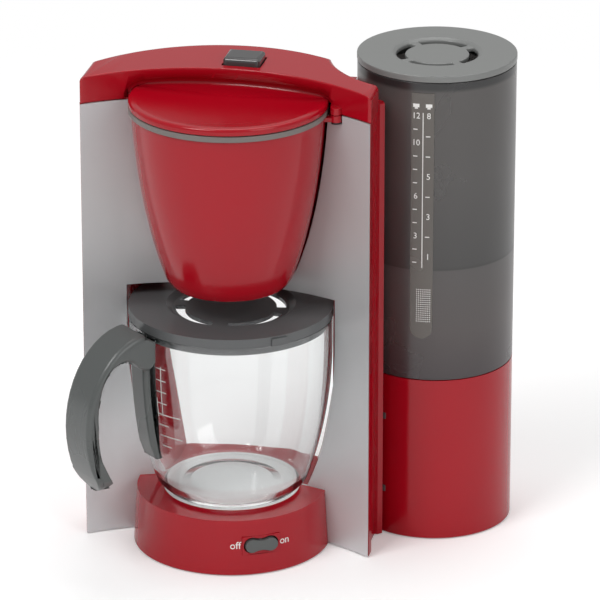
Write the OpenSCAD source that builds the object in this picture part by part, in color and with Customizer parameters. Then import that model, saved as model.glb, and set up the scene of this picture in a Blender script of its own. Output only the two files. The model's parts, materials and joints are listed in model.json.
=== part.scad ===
// Toy filter coffee maker: a crescent tower with a swing-out filter cup, a clear jug on a
// round drum base, and a lift-off water tank beside it. Origin on the floor, on the axis
// of drum and jug. +Z up, the front faces -Y. All sizes in millimetres.

/* [Tower] */
// Width of the tower across its front
tower_w = 140; // [136:1:146]
// Height of the tower up to the underside of the hood
tower_h = 221.8; // [219:0.2:226]
// Radius of the hollow front face
front_r = 118; // [110:1:140]
// Front face behind the jug axis, at the middle
front_mid_y = 10; // [8:0.5:12]
// Radius of the rounded back
back_r = 88; // [82:1:92]
// Back face behind the jug axis, at the middle
back_mid_y = 47.5; // [46.5:0.5:54]
// Thickness of the silver front panel
panel_t = 1.2; // [0.8:0.1:2]
// Thickness of the red frame behind the panel
frame_t = 4.8; // [3.5:0.1:7]
// Wall thickness of the mouldings
wall = 2.2; // [1.8:0.1:3]
// How far the tower body stays behind the ends of its front frame
body_inset = 2.5; // [1.5:0.5:5]

/* [Hood] */
// Height of the hood at its ends
hood_h = 12.8; // [11.5:0.2:16]
// Rise of the hood from its ends to its middle
hood_crown = 1.5; // [1:0.1:4]
// Gap between the tank and the hollow in the end of the hood
hood_tank_gap = 12.5; // [8:0.5:14]
// Height of the hollow above the filter lid
niche_h = 9.8; // [9:0.1:11]
// Height of the front lip over the filter lid
lip_h = 6.6; // [6.4:0.1:7.6]

/* [Button] */
// Width of the button
button_w = 18; // [12:1:22]
// Depth of the button, front to back
button_d = 15; // [10:1:16]
// Height of the button above the hood
button_proud = 3.6; // [3:0.1:5]
// Travel of the button
button_travel = 1.8; // [1:0.1:2.5]

/* [Drum] */
// Radius of the drum at the floor
drum_r = 47.7; // [45:0.5:50]
// Radius of the drum at its top
drum_top_r = 45.9; // [43:0.5:47]
// Height of the drum
drum_h = 28; // [24:0.5:34]
// Radius of the warming plate
plate_r = 33; // [30:0.5:36]
// Thickness of the warming plate
plate_t = 1.5; // [1:0.1:2.5]
// Length of the switch rocker
switch_l = 16; // [12:0.5:20]
// Height of the switch rocker at its ends
switch_h = 6.5; // [5:0.5:9]
// Direction of the switch, turned to the right from the front
switch_az = 30; // [10:1:45]

/* [Jug] */
// Largest radius of the jug
jug_r = 48.7; // [46:0.1:49.5]
// Height of the jug without its lid
jug_h = 88.7; // [86:0.1:92]
// Wall thickness of the jug
jug_wall = 1.8; // [1.4:0.1:2.4]
// Height of the lid's rim
jug_lid_h = 4.6; // [3.5:0.1:5.5]
// Depth of the dish in the lid
jug_lid_dish = 2.2; // [1:0.1:3]
// Outer radius of the ring of slots in the lid
slot_ring_r = 26.5; // [20:0.5:32]
// Width of the slots
slot_w = 4.6; // [3:0.1:6]
// Number of slots in the jug lid
slot_n = 4; // [3:1:8]

/* [Handle] */
// Direction of the handle, turned from the left side towards the front
handle_az = 47.4; // [20:0.5:60]
// Width of the grip
grip_w = 21; // [16:0.5:26]
// Reach of the grip from the jug axis
grip_reach = 89.3; // [84:0.5:100]
// Thickness of the grip
grip_t = 7.2; // [6:0.1:10]
// Width of the tongue along the jug
tongue_w = 12; // [8:0.5:16]
// Thickness of the tongue
tongue_t = 5; // [3.5:0.1:7]
// Height of the grip's free end
grip_low_z = 44.5; // [36:0.5:56]

/* [Filter] */
// Filter cup axis in front of the jug axis
cup_front = 3; // [1:0.5:6]
// Radius at the top of the cup
cup_r = 46; // [43:0.1:46.5]
// Height of the cup's underside
cup_low_z = 133.5; // [133:0.1:140]
// Radius of the cup's underside
cup_low_r = 28.7; // [24:0.1:33]
// Wall thickness of the cup
cup_wall = 2; // [1.5:0.1:3]
// Height of the grey ring under the filter lid
ring_h = 2.8; // [2:0.1:3.4]
// Overhang of ring and lid over the cup
ring_lip = 1.3; // [0.5:0.1:1.8]
// Height of the filter lid's rim above the ring
cup_lid_h = 3.4; // [3:0.1:4]
// Depth of the dish in the filter lid
cup_lid_dish = 2.5; // [1.6:0.1:2.6]
// Distance of the swing hinge from the cup's axis
hinge_x = 51.5; // [50.5:0.1:53]
// Radius of the hinge pin
hinge_pin_r = 1.5; // [1.2:0.1:1.8]

/* [Tank] */
// Near side of the tank beside the jug axis
tank_near_x = 51.2; // [48:0.2:62]
// Tank axis behind the jug axis
tank_y = 53.3; // [50:0.1:60]
// Radius of the tank
tank_r = 38; // [34:0.2:38.6]
// Height of the red tank base
tank_base_h = 83; // [70:1:100]
// Height of the tank's top edge
tank_top_z = 233.6; // [215:0.2:250]
// Height of the floor inside the tank
tank_floor_z = 140; // [125:1:160]
// Wall thickness of the tank
tank_wall = 2; // [1.5:0.1:3]
// Thickness of the tank lid
tank_lid_h = 3.2; // [2.5:0.1:5]
// Radius of the ring of slots in the tank lid
tank_slot_r = 19.5; // [14:0.5:25]
// Thickness of the cradle plate beside the tank
cradle_t = 3; // [2:0.1:4]

/* [Hidden] */
$fn = 96;

RED = [0.63, 0.02, 0.08];
DARK_RED = [0.42, 0.01, 0.05];
SILVER = [0.72, 0.72, 0.72];
GREY = [0.42, 0.44, 0.43];
DARK_GREY = [0.27, 0.28, 0.28];
SMOKE = [0.3, 0.29, 0.29, 0.55];
CLEAR = [0.95, 0.96, 0.97, 0.3];
STEEL = [0.6, 0.6, 0.62];
RUBBER = [0.1, 0.1, 0.1];

over = 1;              // cutters run past a face by this much
gap = 0.4;             // clearance between pieces that move past each other
run = 0.05;            // radial clearance of a pin in its bore
foot_proud = 0.6;      // rubber feet stand out of the underside by this much
steps = 14;            // bands along a curved profile

front_cy = front_mid_y - front_r;
back_cy = back_mid_y - back_r;
half_w = tower_w / 2;
body_hw = half_w - body_inset;
frame_back_r = front_r + panel_t + frame_t;
base_z = foot_proud;
floor_z = drum_h;
jug_z = floor_z + 0.5;
jug_top_z = jug_z + jug_h;
jug_lid_top = jug_top_z + jug_lid_h + 0.2;
window_top = jug_lid_top + 5.5;
window_gap = 2.2;
cup_y = -cup_front;
cup_top_z = tower_h - 1.6;
ring_r = cup_r + ring_lip;
ring_z = cup_top_z;
cup_lid_z = ring_z + ring_h;
cup_recess_z = cup_low_z - 1.6;
cup_gap = 1.2;
hood_z = tower_h;
hood_mid_z = hood_z + hood_h + hood_crown;
crown_r = half_w * half_w / (2 * hood_crown) + hood_crown / 2;
niche_z = hood_z + niche_h;
lip_z = hood_z + lip_h;
niche_r = ring_r + 1.2;
tank_x = tank_near_x + tank_r;
cradle_r = tank_r + 0.6;
hood_cut_r = tank_r + hood_tank_gap;
tank_lid_z = tank_top_z;
button_x = 2;
button_y = 22.5;

// radius of the jug at height z: a quarter ellipse below its shoulder
jug_shoulder = 75.5;   // shoulder above the jug's underside
jug_drop = 107;        // half height of the ellipse
function jug_radius(z) =
  z > jug_z + jug_shoulder ? jug_r
  : jug_r * sqrt(1 - pow((jug_z + jug_shoulder - z) / jug_drop, 2));

// radius of the filter cup at height z: part of an ellipse through top and bottom radius
cup_rise = 28;         // centre of the ellipse above the cup's top
cup_span = cup_top_z + cup_rise - cup_low_z;
cup_s = (cup_low_r / cup_r);
cup_k = (1 - cup_s * cup_s) / (1 - cup_s * cup_s * pow(cup_rise / cup_span, 2));
function cup_radius(z) =
  cup_r * sqrt((1 - cup_k * pow((cup_top_z + cup_rise - z) / cup_span, 2))
               / (1 - cup_k * pow(cup_rise / cup_span, 2)));

module at_tank() { translate([tank_x, tank_y, 0]) children(); }
module at_cup() { translate([0, cup_y, 0]) children(); }
// local frame of the handle: +X outwards along the handle, +Z up
module at_handle() { rotate([0, 0, 180 + handle_az]) children(); }
// extrudes a side view drawn in X-Z to a width along Y, centred
module side_plate(w) { rotate([90, 0, 0]) linear_extrude(height = w, center = true) children(); }
// local frame of the switch: -Y out of the drum
module at_switch() { rotate([0, 0, switch_az]) translate([0, -drum_r, switch_z]) children(); }
switch_z = 15.2;

module ring2d(outer, inner) {
  difference() {
    circle(r = outer);
    circle(r = inner);
  }
}

// ---------------------------------------------------------------- plan of the tower
// region behind the front arc of radius r
module behind_arc(r, hw) {
  difference() {
    translate([-hw, front_cy]) square([2 * hw, 300]);
    translate([0, front_cy]) circle(r = r, $fn = 180);
  }
}
// region inside the back arc of radius r
module inside_back(r) { translate([0, back_cy]) circle(r = r, $fn = 180); }

module front_band(r_front, r_back, hw) {
  intersection() {
    behind_arc(r_front, hw);
    translate([0, front_cy]) circle(r = r_back, $fn = 180);
  }
}
module body_plan(inset) {
  intersection() {
    behind_arc(frame_back_r + inset, body_hw - inset);
    inside_back(back_r - inset);
  }
}

// ---------------------------------------------------------------- window and cup recess
back_left_x = 40.5;    // open back beside the jug axis, on the left and on the right
back_right_x = 47;
back_slope_z = 80;     // the open back narrows below this height
// space that the jug stands in, open to the back; grow makes the wall around it
module jug_tunnel(grow) {
  low = floor_z - grow;
  high = window_top + grow;
  rotate_extrude() polygon(concat(
    [[0, low]],
    [for (i = [0 : steps]) let (z = floor_z + (window_top - floor_z) * i / steps)
      [jug_radius(max(z, jug_z)) + window_gap + grow, i == 0 ? low : i == steps ? high : z]],
    [[0, high]]));
  left = back_left_x + grow;
  right = back_right_x + grow;
  translate([0, 65, 0]) rotate([90, 0, 0]) linear_extrude(height = 55)
    polygon([[7.5 - left, low], [right - 7.5, low], [right, back_slope_z],
             [right, high], [-left, high], [-left, back_slope_z]]);
}
// space that the filter cup swings out of
module cup_recess(grow) {
  low = cup_recess_z - grow;
  top = tower_h + over;
  at_cup() rotate_extrude() polygon(concat(
    [[0, low], [cup_low_r + grow, low]],
    [for (i = [1 : steps]) let (z = cup_low_z + (cup_top_z - cup_low_z) * i / steps)
      [cup_radius(z) + cup_gap + grow, z]],
    [[ring_r + cup_gap + grow, cup_top_z - 1.5], [ring_r + cup_gap + grow, top], [0, top]]));
}

// ---------------------------------------------------------------- drum
module screw(r, len) {
  difference() {
    union() {
      cylinder(r = 1.8 * r, h = r);
      cylinder(r = r, h = len);
    }
    for (a = [0, 90]) rotate([0, 0, a])
      translate([-1.3 * r, -0.25 * r, -over]) cube([2.6 * r, 0.5 * r, over + 0.5 * r]);
  }
}

module drum_solid(r_low, r_high, low, high) {
  translate([0, 0, low]) cylinder(r1 = r_low, r2 = r_high, h = high - low);
}
boss_r = 3.4;
boss_at = [for (a = [205, 270, 335]) [36 * cos(a), 36 * sin(a)]];
module drum_shell() {
  color(RED) intersection() {
    difference() {
      union() {
        difference() {
          drum_solid(drum_r, drum_top_r, base_z, drum_h);
          drum_solid(drum_r - wall, drum_top_r - wall, base_z - over, drum_h - wall - plate_t);
        }
        for (p = boss_at) translate([p[0], p[1], base_z + wall])
          cylinder(r = boss_r, h = drum_h - plate_t - wall - base_z);
      }
      translate([0, 0, drum_h - plate_t]) cylinder(r = plate_r, h = 10);
      for (p = boss_at) translate([p[0], p[1], base_z]) cylinder(r = screw_r, h = screw_l + 1);
      at_switch() switch_cut(0);
    }
    translate([0, front_cy, 0]) cylinder(r = front_r, h = 60, $fn = 180);
  }
}
screw_r = 1.4;
screw_l = 10;
module warming_plate() {
  color(SILVER) translate([0, 0, drum_h - plate_t]) difference() {
    cylinder(r = plate_r, h = plate_t + 0.3);
    translate([0, 0, plate_t]) rotate_extrude() translate([plate_r - 4, 0]) square([1.2, 1]);
  }
}
module base_plate() {
  color(DARK_RED) translate([0, 0, base_z]) intersection() {
    difference() {
      cylinder(r = drum_r - wall - 0.2, h = wall);
      for (p = boss_at) translate([p[0], p[1], -over]) cylinder(r = screw_r, h = 2 * over + wall);
      for (p = boss_at) translate([p[0], p[1], -over]) cylinder(r = 2 * screw_r, h = over + screw_r);
      translate([0, 0, -over]) cylinder(r = middle_foot_r + 0.2, h = over + 1);
    }
    translate([0, front_cy, -over]) cylinder(r = front_r, h = 60, $fn = 180);
  }
}
tower_foot = [[-56, 11], [56, 11], [-22, 31], [22, 31]];
tank_foot = [for (a = [20, 140, 260]) [tank_x + 28 * cos(a), tank_y + 28 * sin(a)]];
middle_foot_r = 9.5;
module rubber_feet() {
  color(RUBBER) {
    cylinder(r = middle_foot_r, h = base_z + 1);
    for (p = concat(tower_foot, tank_foot)) translate([p[0], p[1], 0]) cylinder(r = 3.5, h = base_z + 1);
  }
}
module base_screws() {
  color(STEEL) for (p = boss_at) translate([p[0], p[1], base_z]) screw(screw_r, screw_l);
}

// ---------------------------------------------------------------- switch
switch_depth = 4;
// opening in the drum wall; grow widens it
module switch_cut(grow) {
  w = switch_l + 2 * gap + 2 * bezel_w + 2 * grow;
  h = switch_h + 2 * gap + 2 * bezel_w + 2 * grow;
  translate([-w / 2, -over, -h / 2]) cube([w, switch_depth + over + 2, h]);
}
bezel_w = 1;
// outline of the rocker: two round ends and a narrower waist
module bone_outline(grow) {
  r = switch_h / 2 + grow;
  difference() {
    union() {
      for (s = [-1, 1]) translate([s * (switch_l / 2 - switch_h / 2), 0]) circle(r = r);
      square([switch_l - switch_h, 2 * r], center = true);
    }
    for (s = [-1, 1]) translate([0, s * (switch_h / 2 + 9.2)]) circle(r = 10 - grow);
  }
}
module switch_rocker() {
  color(GREY) at_switch() difference() {
    translate([0, switch_depth + 0.8, 0]) rotate([90, 0, 0])
      linear_extrude(height = switch_depth + 1) bone_outline(0);
    translate([0, switch_depth - 1.2, -switch_h]) cylinder(r = 0.8 + run, h = 2 * switch_h);
  }
}
module switch_axle() {
  color(STEEL) at_switch() translate([0, switch_depth - 1.2, -switch_h / 2 - bezel_w - 0.2])
    cylinder(r = 0.8, h = switch_h + 2 * bezel_w + 0.4);
}
module switch_bezel() {
  w = switch_l + 2 * gap + 2 * bezel_w;
  h = switch_h + 2 * gap + 2 * bezel_w;
  color(DARK_RED) at_switch() difference() {
    translate([-w / 2, 1.2, -h / 2]) cube([w, switch_depth + 0.8, h]);
    translate([0, 20, 0]) rotate([90, 0, 0]) linear_extrude(height = 40) bone_outline(gap + 0.3);
    translate([0, switch_depth - 1.2, -h]) cylinder(r = 0.8, h = 2 * h);
  }
}

// ---------------------------------------------------------------- tower
module front_panel() {
  color(SILVER) difference() {
    translate([0, 0, base_z]) linear_extrude(height = tower_h - 0.8 - base_z)
      front_band(front_r, front_r + panel_t, half_w - 0.4);
    jug_tunnel(0);
    cup_recess(0);
    hinge_notch();
    translate([0, 0, drum_h - plate_t]) cylinder(r = plate_r, h = 10);
  }
}
module tower_front() {
  color(RED) difference() {
    translate([0, 0, base_z]) linear_extrude(height = tower_h - base_z)
      front_band(front_r + panel_t, frame_back_r, half_w);
    jug_tunnel(0);
    cup_recess(0);
    hinge_notch();
    translate([0, 0, drum_h - plate_t]) cylinder(r = plate_r, h = 10);
  }
}
module tower_back() {
  color(RED) difference() {
    translate([0, 0, base_z]) linear_extrude(height = tower_h - base_z) body_plan(0);
    difference() {
      translate([0, 0, base_z - over]) linear_extrude(height = tower_h + 2 * over) body_plan(wall);
      jug_tunnel(wall);
      cup_recess(wall);
      for (p = tower_boss) translate([p[0], p[1], tower_h - hood_boss]) cylinder(r = boss_r, h = 20);
    }
    jug_tunnel(0);
    cup_recess(0);
    translate([0, 0, drum_h - plate_t]) cylinder(r = plate_r, h = 10);
    for (p = tower_boss) translate([p[0], p[1], tower_h - screw_l]) cylinder(r = screw_r, h = 20);
    spout_block();
    tube_path(tube_r + 0.1);
  }
}
boss_x = body_hw - 10;
boss_y = front_cy + sqrt(pow(frame_back_r + wall, 2) - boss_x * boss_x) + boss_r - 0.6;
tower_boss = [[-boss_x, boss_y], [boss_x, boss_y]];
hood_bite = 5;
hood_boss = 5;
module tower_base_plate() {
  color(DARK_RED) difference() {
    translate([0, 0, base_z]) linear_extrude(height = wall) body_plan(wall);
    for (p = tower_foot) translate([p[0], p[1], base_z - over]) cylinder(r = 3.5, h = over + 1);
  }
}
module hood_screws() {
  color(STEEL) for (p = tower_boss) translate([p[0], p[1], tower_h - hood_boss - screw_r])
    screw(screw_r, hood_boss + screw_r + hood_bite - 1);
}

// ---------------------------------------------------------------- hood
module hood_plan(inset) {
  difference() {
    intersection() {
      behind_arc(front_r + inset, half_w - inset);
      inside_back(back_r - inset);
    }
    translate([tank_x, tank_y]) circle(r = hood_cut_r + inset, $fn = 180);
  }
}
// space under the crowned top, lowered by drop
module under_crown(drop) {
  translate([0, 150, hood_mid_z - crown_r - drop]) rotate([90, 0, 0])
    cylinder(r = crown_r, h = 300, $fn = 360);
}
module niche(grow) {
  r = niche_r + grow;
  at_cup() rotate_extrude() polygon([
    [0, hood_z - over], [r, hood_z - over], [r, niche_z - 5.5 + grow], [r - 4, niche_z - 2.7 + grow],
    [r - 10, niche_z - 1 + grow], [r - 20, niche_z + grow], [0, niche_z + grow]]);
}
// lower hollow that passes under the hood's front lip
module lip_hollow() {
  at_cup() rotate_extrude() polygon([
    [0, hood_z - over], [niche_r, hood_z - over], [niche_r, lip_z - 3.4], [niche_r - 2.5, lip_z - 1.4],
    [niche_r - 6.5, lip_z - 0.4], [niche_r - 18, lip_z], [0, lip_z]]);
}
// the whole hollow of the hood: full height behind the lip
module hood_hollow() {
  lip_hollow();
  intersection() {
    niche(0);
    linear_extrude(height = 300) behind_arc(front_r + lip_t, half_w);
  }
}
lip_t = 3;
module button_slot(grow) {
  w = button_w + 2 * gap + 2 * grow;
  d = button_d + 2 * gap + 2 * grow;
  translate([button_x - w / 2, button_y - d / 2, 0]) cube([w, d, 30]);
}
pocket_z = niche_z + 1.2;
module hood() {
  color(RED) difference() {
    union() {
      intersection() {
        translate([0, 0, hood_z]) linear_extrude(height = 30) hood_plan(0);
        under_crown(0);
      }
      hinge_ear();
    }
    difference() {
      intersection() {
        translate([0, 0, hood_z - over]) linear_extrude(height = 30) hood_plan(wall);
        under_crown(wall);
      }
      niche(wall - 0.6);
      for (p = tower_boss) translate([p[0], p[1], hood_z - 1]) cylinder(r = boss_r, h = 30);
      hinge_ear();
    }
    hood_hollow();
    translate([hinge_x, cup_y, hood_z - over]) cylinder(r = hinge_pin_r, h = over + pin_bite);
    translate([0, 0, pocket_z]) button_slot(0);
    translate([button_x, button_y, niche_z - over]) cylinder(r = stem_r + gap, h = 10);
    for (p = tower_boss) translate([p[0], p[1], hood_z - over]) cylinder(r = screw_r, h = over + hood_bite);
  }
}
// rectangle with round corners on its far side, or on all four
module rounded_rectangle(w, h, r, all) {
  translate([-w / 2 + r, 0]) square([w - 2 * r, h]);
  translate([-w / 2, all ? r : 0]) square([w, h - (all ? 2 * r : r)]);
  for (x = [-1, 1]) translate([x * (w / 2 - r), h - r]) circle(r = r);
  if (all) for (x = [-1, 1]) translate([x * (w / 2 - r), r]) circle(r = r);
}
// block on z = 0 with round upright and upper edges
module rounded_block(w, d, h, r) {
  intersection() {
    linear_extrude(height = h) translate([0, -d / 2]) rounded_rectangle(w, d, r, true);
    rotate([90, 0, 0]) linear_extrude(height = d, center = true) rounded_rectangle(w, h, r, false);
    rotate([90, 0, 90]) linear_extrude(height = w, center = true) rounded_rectangle(d, h, r, false);
  }
}
stem_r = 3;
button_low_z = pocket_z + button_travel + 0.2;
button_top_z = hood_mid_z + button_proud;
module button() {
  color(GREY) {
    difference() {
      translate([button_x, button_y, button_low_z])
        rounded_block(button_w, button_d, button_top_z - button_low_z, 2.2);
      translate([button_x, button_y, button_low_z - over]) cylinder(r = spring_r + 1, h = over + spring_room);
    }
    translate([button_x, button_y, niche_z - 1]) cylinder(r = stem_r, h = button_top_z - niche_z);
  }
}
spring_r = 4.6;
spring_wire = 0.7;
spring_room = 2.4;
module button_clip() {
  color(DARK_GREY) translate([button_x, button_y, niche_z - 0.15 - clip_t]) difference() {
    cylinder(r = stem_r + 1.6, h = clip_t);
    translate([0, 0, clip_t - 0.85]) cylinder(r = stem_r, h = 2);
  }
}
clip_t = 1.2;
// points of a round wire wound into a coil
module coil(r, wire, height, turns) {
  sides = 8;
  seg = 20;
  n = turns * seg;
  pts = [for (i = [0 : n]) let (a = 360 * i / seg, z = wire + (height - 2 * wire) * i / n)
    for (k = [0 : sides - 1]) let (b = 360 * k / sides)
      [(r + wire * cos(b)) * cos(a), (r + wire * cos(b)) * sin(a), z + wire * sin(b)]];
  side = [for (i = [0 : n - 1]) for (k = [0 : sides - 1]) let (m = (k + 1) % sides)
    [i * sides + k, i * sides + m, (i + 1) * sides + m, (i + 1) * sides + k]];
  caps = [[for (k = [0 : sides - 1]) sides - 1 - k], [for (k = [0 : sides - 1]) n * sides + k]];
  polyhedron(points = pts, faces = concat(side, caps), convexity = 6);
}
module button_spring() {
  color(STEEL) translate([button_x, button_y, pocket_z])
    coil(spring_r - 0.2, spring_wire / 2, button_low_z + spring_room - pocket_z, 2);
}

// ---------------------------------------------------------------- filter
hinge_lug_h = 3.2;
hinge_lug_r = 2.6;
hinge_top_z = hood_z - gap;
hinge_low_z = hinge_top_z - hinge_lug_h;
pin_head_h = 0.8;
pin_bite = 2.8;
// pocket in the panel's edge for the hinge
module hinge_notch() {
  translate([hinge_x, cup_y, hinge_low_z - pin_head_h - gap]) cylinder(r = hinge_lug_r + gap, h = 60);
}
// ear under the hood that the hinge pin hangs from
module hinge_ear() {
  translate([hinge_x, cup_y, hood_z]) cylinder(r = hinge_lug_r, h = pin_bite + 0.6);
  translate([hinge_x - 1.5, cup_y, hood_z]) cube([3, 2 * hinge_lug_r, pin_bite + 0.6]);
}
module hinge_pin() {
  color(STEEL) translate([hinge_x, cup_y, hinge_low_z - gap / 2]) {
    cylinder(r = hinge_pin_r, h = hood_z + pin_bite - hinge_low_z + gap / 2);
    translate([0, 0, -pin_head_h]) cylinder(r = hinge_lug_r - 0.3, h = pin_head_h + 0.01);
  }
}
module cup_profile(inset, low, high) {
  polygon(concat(
    [[0, low], [cup_low_r - inset - 3, low]],
    [for (i = [0 : steps]) let (z = low + 2.4 + (high - low - 2.4) * i / steps)
      [cup_radius(max(z, cup_low_z)) - inset, z]],
    [[0, high]]));
}
outlet_r = 4;
ledge_z = cup_top_z - 8;
ledge_t = 1.2;
basket_rim_r = cup_radius(ledge_z) - cup_wall - 0.6;
module filter_cup() {
  color(RED) difference() {
    union() {
      at_cup() rotate_extrude() cup_profile(0, cup_low_z, cup_top_z);
      translate([hinge_x, cup_y, hinge_low_z]) cylinder(r = hinge_lug_r, h = hinge_lug_h);
      translate([cup_r - 1.5, cup_y - 2, hinge_low_z])
        cube([hinge_x - cup_r + 1.5, 4, cup_top_z - hinge_low_z]);
    }
    translate([hinge_x, cup_y, hinge_low_z - over])
      cylinder(r = hinge_pin_r + run, h = hinge_lug_h + 2 * over);
    at_cup() difference() {
      rotate_extrude() cup_profile(cup_wall, cup_low_z + cup_wall, cup_top_z + over);
      translate([0, 0, ledge_z - ledge_t]) linear_extrude(height = ledge_t) ring2d(cup_r, basket_rim_r - 2);
    }
    at_cup() translate([0, 0, cup_low_z - over]) cylinder(r = outlet_r, h = over + 10);
  }
}
module cup_ring() {
  color([0.6, 0.58, 0.55]) difference() {
    at_cup() translate([0, 0, ring_z]) cylinder(r = ring_r, h = ring_h);
    at_cup() translate([0, 0, ring_z - 10]) cylinder(r = cup_r - 1, h = 20);
  }
}
basket_low_r = 20;
basket_lift = 20.7;    // basket's underside above the cup's floor
basket_h = ledge_z - cup_low_z - cup_wall - basket_lift;
basket_t = 1.6;
module filter_basket() {
  cone_r = basket_rim_r - 2.4;
  color(DARK_GREY) at_cup() difference() {
    union() {
      translate([0, 0, ledge_z - basket_h]) cylinder(r1 = basket_low_r, r2 = cone_r, h = basket_h);
      translate([0, 0, ledge_z]) cylinder(r = basket_rim_r, h = 1.2);
    }
    translate([0, 0, ledge_z - basket_h + basket_t])
      cylinder(r1 = basket_low_r - basket_t, r2 = cone_r - basket_t, h = basket_h - basket_t);
    translate([0, 0, ledge_z - 0.1]) cylinder(r = cone_r - basket_t, h = 5);
    for (a = [0 : 60 : 300]) rotate([0, 0, a]) translate([basket_low_r / 2, 0, ledge_z - basket_h - over])
      cylinder(r = 1.5, h = 5);
  }
}
lid_gap = 0.4;
rise_w = 11;
// back of the lid's bowl, which rises in a quarter ellipse to the hood's lip
module lid_rise(low) {
  wall_r = front_r + lip_t;
  rise_h = lip_z - low - 0.8;
  intersection() {
    translate([0, front_cy, 0]) rotate_extrude($fn = 180) polygon(concat(
      [[wall_r - rise_w, low], [wall_r + 1.6, low], [wall_r + 1.6, lip_z]],
      [for (i = [0 : 8]) let (t = 90 * i / 8) [wall_r - rise_w * (1 - cos(t)), lip_z - rise_h * sin(t)]]));
    translate([0, 0, -0.15]) lip_hollow();
    at_cup() cylinder(r = ring_r - 2, h = lip_z);
  }
}
// fixed lid between the filter's ring and the hood
module cup_lid() {
  low = cup_lid_z + lid_gap;
  top = low + cup_lid_h;
  bowl_r = ring_r - 3.2;
  sphere_r = (bowl_r * bowl_r + cup_lid_dish * cup_lid_dish) / (2 * cup_lid_dish);
  color(RED) union() {
    at_cup() rotate_extrude() polygon(concat(
      [[0, low], [ring_r, low], [ring_r, low + 1.4], [ring_r - 0.5, low + 2.4], [ring_r - 1.7, top - 0.2],
       [ring_r - 2.9, top]],
      [for (i = [0 : 8]) let (r = bowl_r * (1 - i / 8))
        [r, top - cup_lid_dish + sphere_r - sqrt(sphere_r * sphere_r - r * r)]]));
    lid_rise(low);
  }
}

// ---------------------------------------------------------------- jug
module jug_profile(inset, low, high) {
  polygon(concat(
    [[0, low]],
    [[jug_radius(low) - inset - 4, low], [jug_radius(low + 1.2) - inset - 1.4, low + 1]],
    [for (i = [0 : steps]) let (z = low + 3 + (high - low - 3) * i / steps) [jug_radius(z) - inset, z]],
    [[0, high]]));
}
lug_z = jug_top_z - 5;
lug_h = 3.6;
lug_w = 14;
module jug_body() {
  color(CLEAR) {
    difference() {
      union() {
        rotate_extrude() jug_profile(0, jug_z, jug_top_z);
        at_handle() translate([jug_r - 3, -lug_w / 2, lug_z]) cube([lug_end - jug_r + 3, lug_w, lug_h]);
      }
      rotate_extrude() jug_profile(jug_wall, jug_z + 3.2, jug_top_z + over);
      at_handle() translate([handle_screw_x, 0, lug_z - over]) cylinder(r = screw_r, h = 10);
    }
  }
}
module slot_ring(r, w, n, rib, h) {
  for (i = [0 : n - 1]) rotate([0, 0, (i + 0.5) * 360 / n])
    intersection() {
      linear_extrude(height = h) ring2d(r, r - w);
      linear_extrude(height = h) polygon([
        [0, 0],
        [2 * r * cos(180 / n - rib), -2 * r * sin(180 / n - rib)],
        [3 * r, 0],
        [2 * r * cos(180 / n - rib), 2 * r * sin(180 / n - rib)]]);
    }
}
tab_az = 310;
module jug_lid() {
  low = jug_top_z + 0.2;
  plug_r = jug_r - jug_wall - gap;
  dish_z = jug_lid_top - jug_lid_dish;
  color(DARK_GREY) difference() {
    union() {
      translate([0, 0, low]) cylinder(r = jug_r + 0.4, h = jug_lid_h);
      translate([0, 0, low - 4]) cylinder(r = plug_r, h = 5);
      rotate([0, 0, tab_az]) translate([jug_r - 1, -4, low]) cube([2.2, 8, jug_lid_h - 1]);
    }
    translate([0, 0, low - 5]) cylinder(r = plug_r - 1.8, h = 5 + jug_lid_h - jug_lid_dish - 1.8);
    translate([0, 0, dish_z])
      cylinder(r1 = slot_ring_r + 1.5, r2 = slot_ring_r + 4.5, h = jug_lid_dish + 0.01);
    translate([0, 0, low - 1]) slot_ring(slot_ring_r, slot_w, slot_n, 9, 20);
  }
}

// ---------------------------------------------------------------- handle
handle_root = 55.5;
lug_end = handle_root + 8;
handle_mid_z = jug_z + 47.5;
handle_b = jug_lid_top - 0.8 - handle_mid_z;
handle_a = grip_reach - handle_root + 0.5;
handle_cx = grip_reach - handle_a;
low_t = -asin((handle_mid_z - grip_low_z + 0.5) / (handle_b + 0.5)) ;
// point on the outer side of the hook, moved in by d; t is 90 at the top
function hook_point(t, d) = [handle_cx + (handle_a - d) * cos(t), handle_mid_z + (handle_b - d) * sin(t)];
hook_steps = 18;
seam = 2.6;
module handle_end_mask() {
  // rounds the free end as seen from outside
  rotate([90, 0, 90]) linear_extrude(height = 200) union() {
    translate([0, grip_low_z + grip_w / 2]) circle(r = grip_w / 2);
    translate([-grip_w / 2, grip_low_z + grip_w / 2]) square([grip_w, 120]);
  }
}
module hook_band(d0, d1) {
  polygon(concat(
    [for (i = [0 : hook_steps]) hook_point(90 + (low_t - 90) * i / hook_steps, d0)],
    [for (i = [hook_steps : -1 : 0]) hook_point(90 + (low_t - 90) * i / hook_steps, d1)]));
}
module handle_outer() {
  color(GREY) at_handle() intersection() {
    side_plate(grip_w) hook_band(0, seam);
    handle_end_mask();
  }
}
gap_cx = 67.5;
gap_a = grip_reach - grip_t - gap_cx;
module tongue_side() {
  low = jug_z + 25.5;
  high = jug_top_z - 6;
  n = 8;
  polygon(concat(
    [for (i = [0 : n]) let (z = low + (high - low) * i / n) [jug_radius(z) + 0.6, z]],
    [for (i = [n : -1 : 0]) let (z = low + (high - low) * i / n)
      [jug_radius(z) + 0.6 + tongue_t - (i == 0 ? 1.2 : 0), z]]));
}
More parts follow.
